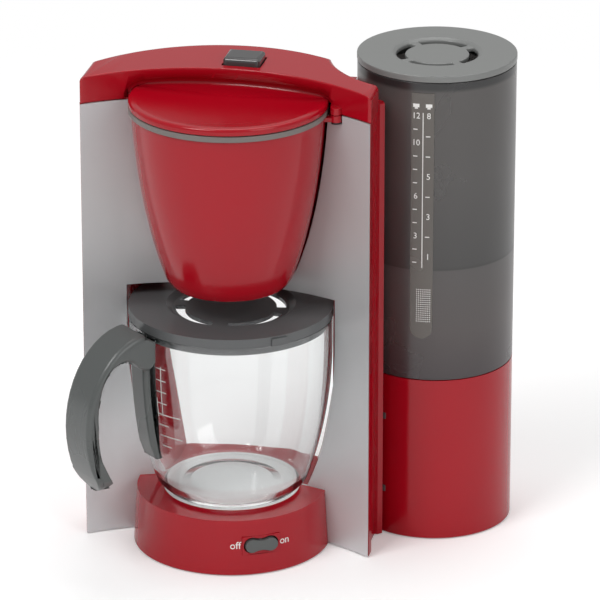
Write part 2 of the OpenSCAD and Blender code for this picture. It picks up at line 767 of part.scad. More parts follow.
module handle_inner() {
  color(GREY) at_handle() {
    intersection() {
      difference() {
        union() {
          side_plate(grip_w - 0.8) hook_band(seam, grip_t);
          side_plate(grip_w - 0.8) polygon([
            [jug_r + 1, jug_top_z - 1.4], [handle_root, jug_top_z + 1.6], [handle_cx + 12, jug_lid_top - 6],
            [handle_cx + 17, jug_top_z - 10], [jug_r + 4, jug_top_z - 15], [jug_r + 1, jug_top_z - 12]]);
        }
        side_plate(40) translate([gap_cx, handle_mid_z + 8]) scale([1, 1.75]) circle(r = gap_a);
        translate([0, -lug_w / 2, lug_z]) cube([lug_end, lug_w, lug_h]);
        translate([handle_screw_x, 0, lug_z - 30]) cylinder(r = screw_r, h = 30);
        translate([handle_screw_x, 0, lug_z - 30]) cylinder(r = 2 * screw_r, h = 23 + 1.6);
        side_plate(40) hook_band(-2, seam);
      }
      handle_end_mask();
    }
    side_plate(tongue_w) tongue_side();
  }
}
handle_screw_x = 59;
module handle_screw() {
  color(STEEL) at_handle() translate([handle_screw_x, 0, lug_z - 7]) difference() {
    union() {
      cylinder(r = 1.9 * screw_r, h = 1.6);
      cylinder(r = screw_r, h = 7 + lug_h - 0.4);
    }
    for (a = [0, 90]) rotate([0, 0, a]) translate([-1.6, -0.4, -over]) cube([3.2, 0.8, over + 0.8]);
  }
}

// ---------------------------------------------------------------- tank
module tank_base() {
  color(RED) difference() {
    at_tank() difference() {
      union() {
        translate([0, 0, base_z]) cylinder(r = tank_r, h = tank_base_h - base_z);
        translate([0, 0, tank_base_h - over]) cylinder(r = tank_r - tank_wall - gap, h = over + 4);
      }
      translate([0, 0, base_z - over]) cylinder(r = tank_r - wall, h = tank_base_h - wall - base_z);
      translate([0, 0, tank_base_h - 2 * wall]) cylinder(r = spigot_r, h = 20);
    }
    tube_path(tube_r + 0.1);
  }
}
spigot_r = 9;
module tank_base_plate() {
  color(DARK_RED) difference() {
    at_tank() translate([0, 0, base_z]) cylinder(r = tank_r - wall, h = wall);
    for (p = tank_foot) translate([p[0], p[1], base_z - over]) cylinder(r = 3.5, h = over + 1);
  }
}
// post that carries the outlet up to the tank's raised floor
spigot_top = tank_floor_z - tank_wall - 2.6;
module tank_spigot() {
  color(GREY) difference() {
    at_tank() difference() {
      union() {
        translate([0, 0, spigot_low]) cylinder(r = spigot_r, h = spigot_top - spigot_low);
        translate([0, 0, tank_base_h + 4]) cylinder(r = spigot_r + 4, h = 2);
      }
      translate([0, 0, spigot_low + 2]) cylinder(r = spigot_r - 2.2, h = 200);
    }
    tube_path(tube_r);
  }
}
spigot_low = tank_base_h - 14;
module tank_body() {
  color(SMOKE) at_tank() difference() {
    translate([0, 0, tank_base_h + 0.3]) cylinder(r = tank_r, h = tank_top_z - tank_base_h - 0.3);
    translate([0, 0, tank_floor_z]) cylinder(r = tank_r - tank_wall, h = 200);
    translate([0, 0, tank_base_h - over])
      cylinder(r = tank_r - tank_wall, h = tank_floor_z - tank_wall - tank_base_h + over);
    translate([0, 0, tank_floor_z - 10]) cylinder(r = valve_r, h = 20);
  }
}
valve_r = 4;
module tank_valve() {
  color(DARK_GREY) at_tank() difference() {
    union() {
      translate([0, 0, tank_floor_z - tank_wall - 7]) cylinder(r = valve_r, h = tank_wall + 7);
      translate([0, 0, tank_floor_z]) cylinder(r = valve_r + 2.4, h = 1.6);
    }
    translate([0, 0, tank_floor_z - tank_wall - 8]) cylinder(r = 1.6, h = 20);
  }
}
module valve_seal() {
  color(RUBBER) at_tank() translate([0, 0, tank_floor_z - tank_wall - 2]) difference() {
    cylinder(r = valve_r + 2, h = 2);
    translate([0, 0, -over]) cylinder(r = valve_r, h = 4);
  }
}
strip_az = 270.5;
strip_w = 11;
strip_low = 104.8;
module gauge_strip() {
  color([0.62, 0.61, 0.58]) at_tank() intersection() {
    linear_extrude(height = tank_top_z - 5) ring2d(tank_r + 0.35, tank_r);
    rotate([0, 0, strip_az]) rotate([90, 0, 90]) linear_extrude(height = 60) union() {
      translate([0, strip_low + strip_w / 2]) circle(r = strip_w / 2);
      translate([-strip_w / 2, strip_low + strip_w / 2]) square([strip_w, 200]);
    }
  }
}
module tank_lid() {
  collar_r = tank_r - tank_wall - gap;
  color([0.57, 0.59, 0.58]) at_tank() difference() {
    union() {
      translate([0, 0, tank_lid_z + 0.2]) cylinder(r = tank_r + 0.2, h = tank_lid_h);
      translate([0, 0, tank_lid_z - 8]) cylinder(r = collar_r, h = 9);
    }
    translate([0, 0, tank_lid_z - 9]) cylinder(r = collar_r - 1.8, h = 9 + tank_lid_h - 3);
    translate([0, 0, tank_lid_z + tank_lid_h - 1]) cylinder(r1 = tank_slot_r, r2 = tank_slot_r + 2, h = 1.3);
    translate([0, 0, tank_lid_z - 1]) rotate([0, 0, 45]) slot_ring(tank_slot_r, 4.2, 4, 7, 20);
  }
}
// bar that fills the gap between tower and tank
cradle_front_y = 15;
cradle_mid_y = 34;
cradle_back_y = 52;
cradle_front_x = body_hw + 1.5;
module cradle_plan() {
  difference() {
    polygon([[body_hw - 4, cradle_front_y], [cradle_front_x, cradle_front_y],
             [cradle_front_x + 2, cradle_front_y + 2], [body_hw - 5, cradle_mid_y],
             [body_hw - 15, cradle_back_y], [body_hw - 20, cradle_back_y], [body_hw - 26, cradle_mid_y],
             [body_hw - 15, cradle_front_y + 5]]);
    translate([tank_x, tank_y]) circle(r = cradle_r, $fn = 180);
    body_outer_plan();
  }
}
module body_outer_plan() {
  intersection() {
    inside_back(back_r);
    translate([-body_hw, -100]) square([2 * body_hw, 200]);
  }
}
module tank_cradle() {
  color(RED) difference() {
    translate([0, 0, base_z]) linear_extrude(height = tower_h - base_z) cradle_plan();
    tube_path(tube_r + 0.1);
  }
}
clip_low_z = 22;
clip_high_z = 60;
clip_h = 3;
module cradle_clips() {
  reach = 2.4 * tank_r;
  color(RED) for (z = [clip_low_z, clip_high_z]) at_tank() translate([0, 0, z]) intersection() {
    linear_extrude(height = clip_h) ring2d(cradle_r, tank_r);
    linear_extrude(height = clip_h)
      polygon([[0, 0], reach * [cos(228), sin(228)], reach * [cos(243), sin(243)]]);
  }
}

// ---------------------------------------------------------------- water path
tube_r = 2.6;
tube_bore = 1.6;
tube_z = tank_base_h - 7;
spout_w = 8;
spout_from = 20;
spout_to = back_mid_y - 5.5;
spout_top = cup_recess_z - 0.9;
tube_up_z = cup_low_z + 8;
tube_y = back_mid_y - 9.5;
pillar_x = body_hw - 8;
tube_points = [
  [tank_x - 0.57 * spigot_r, tank_y - 0.82 * spigot_r, tube_z], [pillar_x, front_mid_y, tube_z],
  [pillar_x, front_mid_y, tube_up_z], [pillar_x - 27, tube_y - 5, tube_up_z],
  [0, tube_y, tube_up_z], [0, tube_y, spout_top]];
// round bar along the straight runs of the water path
module tube_path(r) {
  for (i = [0 : len(tube_points) - 2]) {
    p = tube_points[i];
    v = tube_points[i + 1] - p;
    len_v = norm(v);
    translate(p) rotate([0, acos(v[2] / len_v), atan2(v[1], v[0])]) cylinder(r = r, h = len_v);
  }
  for (i = [1 : len(tube_points) - 2]) translate(tube_points[i]) sphere(r = r + 0.5);
}
module water_tube() {
  color([0.85, 0.85, 0.82]) difference() {
    tube_path(tube_r);
    tube_path(tube_bore);
  }
}
module spout_block() {
  translate([-spout_w / 2, spout_from, window_top - over])
    cube([spout_w, spout_to - spout_from, spout_top - window_top + over]);
}
module drip_spout() {
  color(DARK_GREY) difference() {
    translate([-spout_w / 2, spout_from, window_top - 0.3])
      cube([spout_w, spout_to - spout_from, spout_top - window_top + 0.3]);
    translate([0, slot_ring_r - slot_w / 2, window_top - over]) cylinder(r = 1.6, h = 3);
    translate([-1, slot_ring_r - slot_w / 2, window_top + 1])
      cube([2, tube_y - slot_ring_r + slot_w / 2, 1.2]);
    translate([0, tube_y, window_top + 1]) cylinder(r = tube_bore, h = 10);
  }
}

drum_shell();
warming_plate();
base_plate();
rubber_feet();
base_screws();
switch_rocker();
switch_axle();
switch_bezel();
front_panel();
tower_front();
tower_back();
tower_base_plate();
tank_cradle();
cradle_clips();
hood();
hood_screws();
button();
button_clip();
button_spring();
hinge_pin();
filter_cup();
cup_ring();
filter_basket();
cup_lid();
jug_body();
jug_lid();
handle_outer();
handle_inner();
handle_screw();
tank_base();
tank_base_plate();
tank_spigot();
tank_body();
tank_valve();
valve_seal();
gauge_strip();
tank_lid();
water_tube();
drip_spout();
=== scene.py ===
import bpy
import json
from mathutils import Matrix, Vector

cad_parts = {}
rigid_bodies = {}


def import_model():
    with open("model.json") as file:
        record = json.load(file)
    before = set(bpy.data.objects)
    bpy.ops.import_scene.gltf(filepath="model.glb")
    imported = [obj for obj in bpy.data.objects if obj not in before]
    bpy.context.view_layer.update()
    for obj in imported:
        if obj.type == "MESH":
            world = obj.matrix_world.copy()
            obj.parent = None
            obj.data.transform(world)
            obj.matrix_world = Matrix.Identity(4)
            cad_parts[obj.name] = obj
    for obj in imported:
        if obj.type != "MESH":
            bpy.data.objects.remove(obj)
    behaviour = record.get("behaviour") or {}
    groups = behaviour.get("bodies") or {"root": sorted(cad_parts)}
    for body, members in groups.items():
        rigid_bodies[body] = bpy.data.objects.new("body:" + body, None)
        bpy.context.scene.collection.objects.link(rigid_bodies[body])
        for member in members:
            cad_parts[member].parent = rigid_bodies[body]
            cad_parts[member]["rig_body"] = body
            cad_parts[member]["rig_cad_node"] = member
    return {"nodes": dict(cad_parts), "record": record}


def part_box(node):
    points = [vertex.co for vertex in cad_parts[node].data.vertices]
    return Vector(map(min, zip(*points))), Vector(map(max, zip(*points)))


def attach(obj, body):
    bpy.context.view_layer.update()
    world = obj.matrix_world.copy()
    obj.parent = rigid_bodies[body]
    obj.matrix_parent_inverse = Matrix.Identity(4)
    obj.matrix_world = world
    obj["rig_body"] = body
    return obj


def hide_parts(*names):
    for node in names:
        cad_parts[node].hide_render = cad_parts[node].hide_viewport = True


bl_info = {
    "name": "Toy coffee maker",
    "version": (1, 0, 0),
    "blender": (4, 5, 0),
    "location": "View3D > Sidebar > Coffee maker",
    "description": "Dresses a toy coffee maker: rounded shells, clear and smoky plastic, marks, studio",
    "category": "Object",
}

import json
import math

import bpy
from mathutils import Matrix, Vector

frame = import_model()
MM = 0.001
RECORD = frame["record"]
BODY_OF = {n: body for body, names in RECORD["behaviour"]["bodies"].items() for n in names}
SLOT_OF = {s["node"]: s["material_slot"] for s in RECORD["subparts"]}


# ------------------------------------------------------------------ settings
def colour(name, description, default):
    """A colour that a user may change."""
    return bpy.props.FloatVectorProperty(
        name=name, description=description, subtype="COLOR", size=3, min=0.0, max=1.0, default=default)


def length(name, description, default):
    """A length that a user may change."""
    return bpy.props.FloatProperty(
        name=name, description=description, unit="LENGTH", min=0.0, max=0.1, precision=5, default=default)


class MAKER_PG_colours(bpy.types.PropertyGroup):
    """Colours of the plastics"""

    red: colour("Shell red", "Glossy red of the moulded shells", (0.36, 0.0012, 0.009))
    # painted shade: the shell red darkened for recesses and undersides, where shade falls
    dark_red: colour("Shaded red", "Red plastic inside the recesses and underneath", (0.16, 0.002, 0.006))
    silver: colour("Panel silver", "Brushed silver of the front panel", (0.665, 0.67, 0.68))
    trim: colour("Handle grey", "Grey of the handle, the button and the switch", (0.085, 0.092, 0.090))
    button: colour("Button grey", "Darker glossy grey of the push button", (0.048, 0.046, 0.047))
    dark_trim: colour("Lid grey", "Dark grey of the jug lid and the basket", (0.098, 0.101, 0.103))
    ring: colour("Ring grey", "Warm grey of the ring round the filter cup", (0.17, 0.15, 0.14))
    tank_lid: colour("Tank lid grey", "Light grey of the tank lid", (0.20, 0.205, 0.20))
    clear: colour("Clear plastic", "Tint of the jug", (0.975, 0.985, 0.985))
    smoke: colour("Smoky plastic", "Tint of the water tank", (0.14, 0.132, 0.130))
    print_white: colour("Mark white", "White of the printed marks", (0.82, 0.82, 0.80))
    rubber: colour("Foot rubber", "Black of the rubber feet", (0.012, 0.012, 0.013))
    steel: colour("Steel", "Screws, pins and the spring", (0.45, 0.45, 0.46))


class MAKER_PG_sizes(bpy.types.PropertyGroup):
    """Sizes of rounded edges and marks"""

    shell_round: length("Shell edge", "Radius of the red shells' edges", 0.6 * MM)
    hood_round: length("Hood edge", "Radius of the hood's upper edges", 2.8 * MM)
    panel_round: length("Panel edge", "Radius of the silver panel's edges", 0.3 * MM)
    trim_round: length("Trim edge", "Radius of small trim edges", 0.4 * MM)
    handle_round: length("Handle edge", "Radius of the handle's edges", 2.5 * MM)
    mark_t: length("Mark thickness", "How far a printed mark stands out", 0.08 * MM)
    mark_w: length("Mark width", "Width of a level line", 0.45 * MM)


def colours():
    """The colour settings."""
    return bpy.context.scene.maker_colours


def sizes():
    """The size settings."""
    return bpy.context.scene.maker_sizes


# ------------------------------------------------------------------ shader groups
def new_group(name, inputs, outputs):
    """An empty shader node group with named sockets."""
    tree = bpy.data.node_groups.new(name, "ShaderNodeTree")
    for label, kind, value in inputs:
        socket = tree.interface.new_socket(label, in_out="INPUT", socket_type=kind)
        socket.default_value = value
    for label, kind in outputs:
        tree.interface.new_socket(label, in_out="OUTPUT", socket_type=kind)
    return tree, tree.nodes.new("NodeGroupInput"), tree.nodes.new("NodeGroupOutput")


def grain_group():
    """Fine moulded grain: a height and a slow mask, stretched along an axis."""
    if "Moulded grain" in bpy.data.node_groups:
        return bpy.data.node_groups["Moulded grain"]
    tree, given, out = new_group(
        "Moulded grain",
        [("Scale", "NodeSocketFloat", 900.0), ("Stretch", "NodeSocketVector", (1, 1, 1)),
         ("Drift Scale", "NodeSocketFloat", 18.0)],
        [("Height", "NodeSocketFloat"), ("Drift", "NodeSocketFloat")])
    where = tree.nodes.new("ShaderNodeTexCoord")
    scaled = tree.nodes.new("ShaderNodeVectorMath")
    scaled.operation = "MULTIPLY"
    fine = tree.nodes.new("ShaderNodeTexNoise")
    fine.inputs["Detail"].default_value = 3.0
    slow = tree.nodes.new("ShaderNodeTexNoise")
    slow.inputs["Detail"].default_value = 2.0
    link = tree.links.new
    link(where.outputs["Object"], scaled.inputs[0])
    link(given.outputs["Stretch"], scaled.inputs[1])
    link(scaled.outputs[0], fine.inputs["Vector"])
    link(given.outputs["Scale"], fine.inputs["Scale"])
    link(where.outputs["Object"], slow.inputs["Vector"])
    link(given.outputs["Drift Scale"], slow.inputs["Scale"])
    link(fine.outputs["Fac"], out.inputs["Height"])
    link(slow.outputs["Fac"], out.inputs["Drift"])
    return tree


def scuff_group():
    """Faint rubbed hairlines, for roughness."""
    if "Rubbed hairlines" in bpy.data.node_groups:
        return bpy.data.node_groups["Rubbed hairlines"]
    tree, given, out = new_group(
        "Rubbed hairlines",
        [("Scale", "NodeSocketFloat", 60.0), ("Amount", "NodeSocketFloat", 0.3)],
        [("Mask", "NodeSocketFloat")])
    where = tree.nodes.new("ShaderNodeTexCoord")
    turned = tree.nodes.new("ShaderNodeMapping")
    turned.inputs["Rotation"].default_value = (0.4, 0.9, 0.3)
    turned.inputs["Scale"].default_value = (1.0, 14.0, 1.0)
    lines = tree.nodes.new("ShaderNodeTexNoise")
    lines.inputs["Detail"].default_value = 4.0
    cut = tree.nodes.new("ShaderNodeMapRange")
    cut.inputs["From Min"].default_value = 0.58
    cut.inputs["From Max"].default_value = 0.72
    scaled = tree.nodes.new("ShaderNodeMath")
    scaled.operation = "MULTIPLY"
    link = tree.links.new
    link(where.outputs["Object"], turned.inputs["Vector"])
    link(turned.outputs["Vector"], lines.inputs["Vector"])
    link(given.outputs["Scale"], lines.inputs["Scale"])
    link(lines.outputs["Fac"], cut.inputs["Value"])
    link(cut.outputs["Result"], scaled.inputs[0])
    link(given.outputs["Amount"], scaled.inputs[1])
    link(scaled.outputs[0], out.inputs["Mask"])
    return tree


def plastic(name, tint, rough=(0.2, 0.3), grain=900.0, bump=0.02, drift=0.08, stretch=(1, 1, 1), scuffs=0.3,
            coat=0.0, metallic=0.0, specular=0.5, transmission=0.0, ior=1.49, drift_scale=18.0):
    """A moulded plastic with drifting tone, grain in its bump and hairlines in its roughness."""
    if name in bpy.data.materials:
        return bpy.data.materials[name]
    material = bpy.data.materials.new(name)
    material.use_nodes = True
    nodes, link = material.node_tree.nodes, material.node_tree.links.new
    shader = nodes["Principled BSDF"]
    grained = nodes.new("ShaderNodeGroup")
    grained.node_tree = grain_group()
    grained.inputs["Scale"].default_value = grain
    grained.inputs["Stretch"].default_value = stretch
    grained.inputs["Drift Scale"].default_value = drift_scale
    tone = nodes.new("ShaderNodeMix")
    tone.data_type = "RGBA"
    tone.inputs["A"].default_value = (*[c * (1 - drift) for c in tint], 1)
    tone.inputs["B"].default_value = (*[min(1.0, c * (1 + drift)) for c in tint], 1)
    link(grained.outputs["Drift"], tone.inputs["Factor"])
    link(tone.outputs["Result"], shader.inputs["Base Color"])
    rubbed = nodes.new("ShaderNodeGroup")
    rubbed.node_tree = scuff_group()
    rubbed.inputs["Amount"].default_value = scuffs
    added = nodes.new("ShaderNodeMath")
    added.operation = "MULTIPLY_ADD"
    added.inputs[1].default_value = 0.35
    link(rubbed.outputs["Mask"], added.inputs[0])
    link(grained.outputs["Drift"], added.inputs[2])
    ranged = nodes.new("ShaderNodeMapRange")
    ranged.inputs["From Min"].default_value = 0.3
    ranged.inputs["From Max"].default_value = 0.75
    ranged.inputs["To Min"].default_value = rough[0]
    ranged.inputs["To Max"].default_value = rough[1]
    link(added.outputs[0], ranged.inputs["Value"])
    link(ranged.outputs["Result"], shader.inputs["Roughness"])
    raised = nodes.new("ShaderNodeBump")
    raised.inputs["Strength"].default_value = bump
    raised.inputs["Distance"].default_value = 0.0002
    link(grained.outputs["Height"], raised.inputs["Height"])
    link(raised.outputs["Normal"], shader.inputs["Normal"])
    shader.inputs["Metallic"].default_value = metallic
    shader.inputs["IOR"].default_value = ior
    shader.inputs["Specular IOR Level"].default_value = specular
    shader.inputs["Transmission Weight"].default_value = transmission
    shader.inputs["Coat Weight"].default_value = coat
    shader.inputs["Coat Roughness"].default_value = 0.06
    material.diffuse_color = (*tint, 1)
    return material


def painted_light_by_height(material, stops):
    """Paints light and shade into the tone of a finish by height; stops are (height in millimetres, tone).
    """
    nodes, link = material.node_tree.nodes, material.node_tree.links.new
    if "Painted light by height" in nodes:
        return material
    shader = nodes["Principled BSDF"]
    tinted = shader.inputs["Base Color"].links[0].from_socket
    where = nodes.new("ShaderNodeTexCoord")
    split = nodes.new("ShaderNodeSeparateXYZ")
    ranged = nodes.new("ShaderNodeMapRange")
    low, high = stops[0][0], stops[-1][0]
    ranged.inputs["From Min"].default_value = low * MM
    ranged.inputs["From Max"].default_value = high * MM
    ramp = nodes.new("ShaderNodeValToRGB")
    ramp.name = "Painted light by height"
    marks = ramp.color_ramp.elements
    while len(marks) < len(stops):
        marks.new(1.0)
    for mark, (z, tone) in zip(marks, stops):
        mark.position = (z - low) / (high - low)
        mark.color = (*tone, 1)
    mixed = nodes.new("ShaderNodeMix")
    mixed.data_type = "RGBA"
    mixed.blend_type = "MULTIPLY"
    mixed.inputs["Factor"].default_value = 1.0
    link(where.outputs["Object"], split.inputs[0])
    link(split.outputs["Z"], ranged.inputs["Value"])
    link(ranged.outputs["Result"], ramp.inputs["Fac"])
    link(tinted, mixed.inputs["A"])
    link(ramp.outputs["Color"], mixed.inputs["B"])
    link(mixed.outputs["Result"], shader.inputs["Base Color"])
    return material


def lit_through(material, amount):
    """Lets light fall through a clear piece, so that what it covers isn't in full shadow."""
    nodes, link = material.node_tree.nodes, material.node_tree.links.new
    if "Light let through" in nodes:
        return material
    path = nodes.new("ShaderNodeLightPath")
    passed = nodes.new("ShaderNodeBsdfTransparent")
    passed.name = "Light let through"
    passed.inputs["Color"].default_value = (amount, amount, amount, 1)
    mixed = nodes.new("ShaderNodeMixShader")
    link(path.outputs["Is Shadow Ray"], mixed.inputs["Fac"])
    link(nodes["Principled BSDF"].outputs[0], mixed.inputs[1])
    link(passed.outputs[0], mixed.inputs[2])
    link(mixed.outputs[0], nodes["Material Output"].inputs["Surface"])
    return material


def glassy(tint):
    """Clear plastic of the jug."""
    material = plastic("Clear plastic", tint, (0.015, 0.05), 60, 0.02, 0.004, scuffs=0.1, transmission=1.0)
    return lit_through(material, 0.93)


def brushed(tint):
    """Brushed silver with painted reflected light: a little lighter low down and darker through the middle.
    """
    material = plastic("Brushed silver", tint, (0.34, 0.44), 260, 0.12, 0.05, (1, 1, 0.03), 0.15,
                       metallic=0.35)
    # painted light: these stops lighten the panel low down and darken it through the middle, copying the
    # studio's reflection
    return painted_light_by_height(material, (
        (0, (1.0, 1.0, 1.0)), (45, (0.97, 0.97, 0.97)), (110, (0.76, 0.76, 0.76)), (175, (0.80, 0.81, 0.80)),
        (225, (0.86, 0.88, 0.88))))


def smoky(tint):
    """Smoky plastic with painted shade by height: darker low down, behind the lid's collar and above the
    line of the tank's floor.
    """
    material = plastic("Smoky plastic", tint, (0.26, 0.34), 60, 0.02, 0.05, scuffs=0.1, transmission=0.45,
                       specular=0.8)
    # painted shade: these stops darken the wall low down, just above the tank's floor line and behind the
    # lid's collar, with painted light rising between
    return painted_light_by_height(material, (
        (78, (0.50, 0.40, 0.45)), (108, (0.94, 0.84, 0.84)), (139.2, (1.0, 0.97, 0.97)),
        (139.8, (0.50, 0.51, 0.51)), (141.4, (0.62, 0.63, 0.63)), (185, (0.92, 0.91, 0.90)),
        (228.8, (1.0, 0.98, 0.96)), (230.2, (0.30, 0.31, 0.32)), (238, (0.25, 0.26, 0.27))))


def finish_of(slot):
    """The finish for a material slot of the record."""
    c = colours()
    made = {
        "red_gloss": lambda: plastic("Gloss red", c.red, (0.16, 0.22), 700, 0.03, 0.05, scuffs=0.08,
                                     coat=0.12, specular=0.36),
        # painted shade: a darker copy of the shell red for recesses and undersides
        "dark_red": lambda: plastic("Shaded red", c.dark_red, (0.30, 0.42), 700, 0.05, 0.08),
        "silver_panel": lambda: brushed(c.silver),
        "grey_trim": lambda: plastic("Satin grey", c.trim, (0.24, 0.34), 900, 0.05, 0.06, coat=0.15),
        "button_grey": lambda: plastic("Button grey", c.button, (0.14, 0.2), 900, 0.03, 0.05, coat=0.3),
        "dark_pin": lambda: plastic("Blackened pin", c.rubber, (0.3, 0.45), 500, 0.1, 0.1, metallic=0.3),
        "dark_trim": lambda: plastic("Lid grey", c.dark_trim, (0.26, 0.36), 900, 0.05, 0.06, coat=0.1),
        "ring_grey": lambda: plastic("Ring grey", c.ring, (0.34, 0.46), 900, 0.05, 0.05),
        "rubber": lambda: plastic("Foot rubber", c.rubber, (0.7, 0.85), 500, 0.3, 0.1),
        "steel": lambda: plastic("Plain steel", c.steel, (0.25, 0.4), 300, 0.1, 0.05, (1, 1, 0.1),
                                 metallic=1.0),
        "clear_plastic": lambda: glassy(c.clear),
        "smoke_plastic": lambda: smoky(c.smoke),
        "plate_grey": lambda: plastic("Plate grey", (0.84, 0.84, 0.84), (0.4, 0.5), 500, 0.08, 0.03),
        "gauge_print": lambda: plastic("Scale strip", (0.17, 0.155, 0.14), (0.20, 0.30), 600, 0.03, 0.06,
                                       transmission=0.3),
        "tube_plastic": lambda: plastic("Tube plastic", (0.68, 0.68, 0.64), (0.35, 0.45), 600, 0.05, 0.05),
        "tank_lid": lambda: plastic("Tank lid grey", c.tank_lid, (0.30, 0.42), 900, 0.05, 0.05),
        "marks": lambda: plastic("Printed white", c.print_white, (0.45, 0.55), 900, 0.03, 0.03),
        "faint_marks": lambda: plastic("Thin white", c.print_white, (0.45, 0.55), 900, 0.03, 0.03,
                                       transmission=0.35),
    }
    return made[slot]()


def dress_with(piece, finish):
    """Gives the piece one finish and nothing else."""
    piece.data.materials.clear()
    piece.data.materials.append(finish_of(finish))


# ------------------------------------------------------------------ modelling
def nothing_selected():
    """Back in object mode with nothing selected."""
    if bpy.context.object and bpy.context.object.mode != "OBJECT":
        bpy.ops.object.mode_set(mode="OBJECT")
    bpy.ops.object.select_all(action="DESELECT")


def only(piece):
    """Selects one piece and makes it active."""
    nothing_selected()
    piece.select_set(True)
    bpy.context.view_layer.objects.active = piece


def apply_modifier(piece, kind, **values):
    """Adds a modifier with these values and applies it."""
    only(piece)
    modifier = piece.modifiers.new(kind.title(), kind)
    for key, value in values.items():
        setattr(modifier, key, value)
    bpy.ops.object.modifier_apply(modifier=modifier.name)


def settle(piece, angle=35):
    """Puts the place into the mesh and shades smooth below an angle."""
    only(piece)
    bpy.ops.object.transform_apply(location=True, rotation=True, scale=True)
    bpy.ops.object.shade_smooth_by_angle(angle=math.radians(angle))


def hand_over(piece, node, finish=None, body=None, replaces=True):
    """Hides the node the piece replaces, attaches the piece to the body it moves with and gives it its
    finish.
    """
    if replaces:
        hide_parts(node)
    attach(piece, body or BODY_OF[node])
    dress_with(piece, finish or SLOT_OF[node])
    return piece


def weigh_edges(piece, angle, share):
    """Writes for each sharp edge how much of the bevel's width it gets."""
    only(piece)
    bpy.ops.object.mode_set(mode="EDIT")
    bpy.ops.mesh.select_mode(type="EDGE")
    bpy.ops.mesh.select_all(action="DESELECT")
    bpy.ops.mesh.edges_select_sharp(sharpness=math.radians(angle))
    bpy.ops.object.mode_set(mode="OBJECT")
    weights = piece.data.attributes.new("bevel_weight_edge", "FLOAT", "EDGE")
    corners = piece.data.vertices
    for edge in piece.data.edges:
        if edge.select:
            first, second = (corners[i].co for i in edge.vertices)
            weights.data[edge.index].value = share((first + second) / 2)


def rounded_copy(node, radius, segments=3, finish=None, angle=30, smooth=35, share=None):
    """A copy of a node with its loose triangles merged and its sharp edges rounded."""
    only(frame["nodes"][node])
    bpy.ops.object.duplicate()
    piece = bpy.context.view_layer.objects.active
    piece.name = piece.data.name = node + "_moulded"
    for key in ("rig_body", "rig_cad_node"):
        if key in piece:
            del piece[key]
    piece.parent = None
    bpy.ops.object.mode_set(mode="EDIT")
    bpy.ops.mesh.select_all(action="SELECT")
    bpy.ops.mesh.remove_doubles(threshold=1e-6)
    bpy.ops.mesh.dissolve_limited(angle_limit=math.radians(0.3))
    bpy.ops.object.mode_set(mode="OBJECT")
    if share:
        weigh_edges(piece, angle, share)
    apply_modifier(piece, "BEVEL", width=radius, segments=segments,
                   limit_method="WEIGHT" if share else "ANGLE", angle_limit=math.radians(angle),
                   use_clamp_overlap=not share, miter_outer="MITER_ARC")
    settle(piece, smooth)
    even_shading(piece)
    return hand_over(piece, node, finish)


def even_shading(piece):
    """Weighs the normals by face area, so that flat faces stay even beside rounded edges."""
    apply_modifier(piece, "WEIGHTED_NORMAL", keep_sharp=True, weight=90)


def fillet(points, steps=5):
    """Rounds the corners of a path of (x, z, radius) and returns (x, z) points."""
    made = []
    for i, (x, z, radius) in enumerate(points):
        here = Vector((x, z))
        if radius <= 0 or i in (0, len(points) - 1):
            made.append(here)
            continue
        before = Vector(points[i - 1][:2]) - here
        after = Vector(points[i + 1][:2]) - here
        half = before.angle(after) / 2
        cut = min(radius / math.tan(half), 0.49 * before.length, 0.49 * after.length)
        start, end = here + before.normalized() * cut, here + after.normalized() * cut
        for k in range(steps + 1):
            t = k / steps
            made.append(start * (1 - t) ** 2 + here * 2 * t * (1 - t) + end * t ** 2)
    return [(p.x, p.y) for p in made]


def chain(name, points):
    """Draws a line of points by extruding one vertex, and stays in edit mode."""
    nothing_selected()
    bpy.ops.mesh.primitive_plane_add(size=0.01, location=(0, 0, 0))
    piece = bpy.context.object
    piece.name = piece.data.name = name
    bpy.ops.object.mode_set(mode="EDIT")
    bpy.ops.mesh.select_mode(type="VERT")
    bpy.ops.mesh.select_all(action="SELECT")
    bpy.ops.mesh.merge(type="CENTER")
    last = Vector((0, 0, 0))
    for i, point in enumerate(points):
        step = Vector(point) - last
        last = Vector(point)
        if i == 0:
            bpy.ops.transform.translate(value=step)
        else:
            bpy.ops.mesh.extrude_vertices_move(TRANSFORM_OT_translate={"value": step})
    return piece


def turned(name, points, centre=(0, 0), steps=128, smooth=35):
    """Turns a closed or axis-to-axis profile of (radius, z) in metres about a vertical axis."""
    piece = chain(name, [(x, 0, z) for x, z in points])
    bpy.ops.mesh.select_all(action="SELECT")
    bpy.ops.mesh.spin(steps=steps, angle=2 * math.pi, center=(0, 0, 0), axis=(0, 0, 1))
    bpy.ops.mesh.select_all(action="SELECT")
    bpy.ops.mesh.remove_doubles(threshold=2e-6)
    bpy.ops.mesh.normals_make_consistent(inside=False)
    bpy.ops.transform.translate(value=(centre[0], centre[1], 0))
    bpy.ops.object.mode_set(mode="OBJECT")
    settle(piece, smooth)
    return piece


def join_shapes(piece, other, operation="UNION"):
    """Adds or cuts another mesh by an exact boolean and removes it."""
    apply_modifier(piece, "BOOLEAN", operation=operation, object=other, solver="EXACT")
    bpy.data.objects.remove(other)


def block(name, low, high):
    """A box between two corners."""
    nothing_selected()
    middle = (Vector(low) + Vector(high)) / 2
    bpy.ops.mesh.primitive_cube_add(size=1, location=middle)
    piece = bpy.context.object
    piece.name = piece.data.name = name
    piece.scale = Vector(high) - Vector(low)
    only(piece)
    bpy.ops.object.transform_apply(location=True, rotation=True, scale=True)
    return piece


def rod(name, x, y, low, high, radius, sides=48):
    """An upright round bar."""
    nothing_selected()
    bpy.ops.mesh.primitive_cylinder_add(vertices=sides, radius=radius, depth=high - low,
                                        location=(x, y, (low + high) / 2))
    piece = bpy.context.object
    piece.name = piece.data.name = name
    only(piece)
    bpy.ops.object.transform_apply(location=True, rotation=True, scale=True)
    return piece


